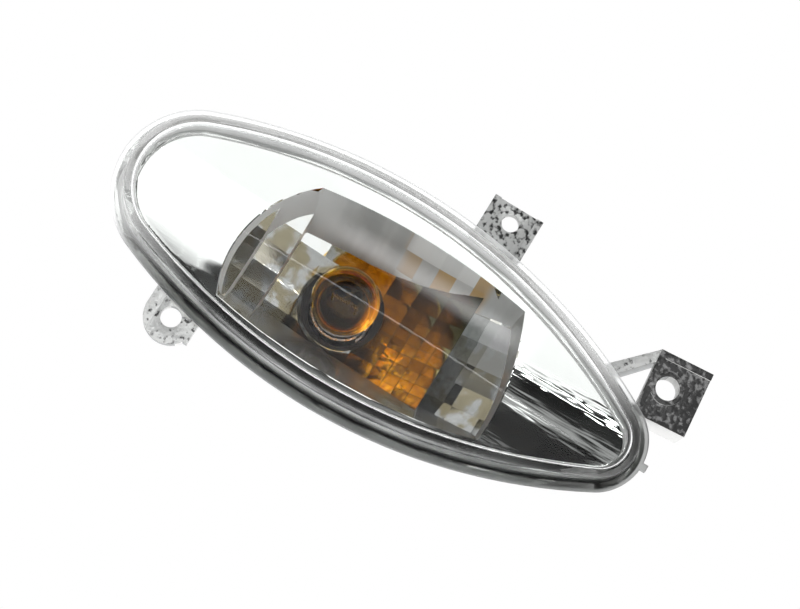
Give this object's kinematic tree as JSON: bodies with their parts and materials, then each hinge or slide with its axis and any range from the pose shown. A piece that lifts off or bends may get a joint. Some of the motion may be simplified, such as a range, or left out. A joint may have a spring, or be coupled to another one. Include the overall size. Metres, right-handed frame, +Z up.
{
  "type": "vehicle indicator lamp",
  "caption": "Egg-shaped indicator lamp with a clear domed lens, a faceted mirror reflector with fixing ears, and an amber bayonet bulb in a twist-in holder.",
  "frame": {"origin": "on the bulb axis, in the plane where the lens flange meets the housing rim", "axes": "+X along the lens towards its narrow tip, -Y out through the lens, +Z up across the lens"},
  "size_m": [0.158, 0.084, 0.0778],
  "materials": {
    "clear_lens": "polished clear moulding",
    "sealant": "grey sealant bead",
    "metallised": "vacuum metallised moulding",
    "amber_glass": "amber lacquered glass",
    "nickel_cap": "nickel plated brass",
    "black_glass": "black glass insulator",
    "solder": "soft solder",
    "clear_glass": "clear glass",
    "lead_wire": "drawn wire",
    "black_nylon": "moulded black plastic",
    "rubber_seal": "moulded rubber",
    "zinc_plate": "zinc plated sheet",
    "fibre_board": "brown insulating board",
    "brass_contact": "stamped brass",
    "spring_wire": "spring wire"
  },
  "bodies": {
    "root": {"lens": "clear_lens", "lens_seal": "sealant", "reflector_housing": "metallised", "bulb_glass": "amber_glass", "bulb_cap": "nickel_cap", "bulb_locking_pins": "nickel_cap", "bulb_insulator": "black_glass", "bulb_end_contact": "solder", "glass_stem": "clear_glass", "filament_supports": "lead_wire", "filament": "lead_wire", "bulb_holder_body": "black_nylon", "holder_seal": "rubber_seal", "socket_sleeve": "zinc_plate", "contact_plate": "fibre_board", "contact_plunger": "brass_contact", "contact_spring": "spring_wire", "live_terminal": "brass_contact", "earth_terminal": "brass_contact"}
  },
  "joints": []
}
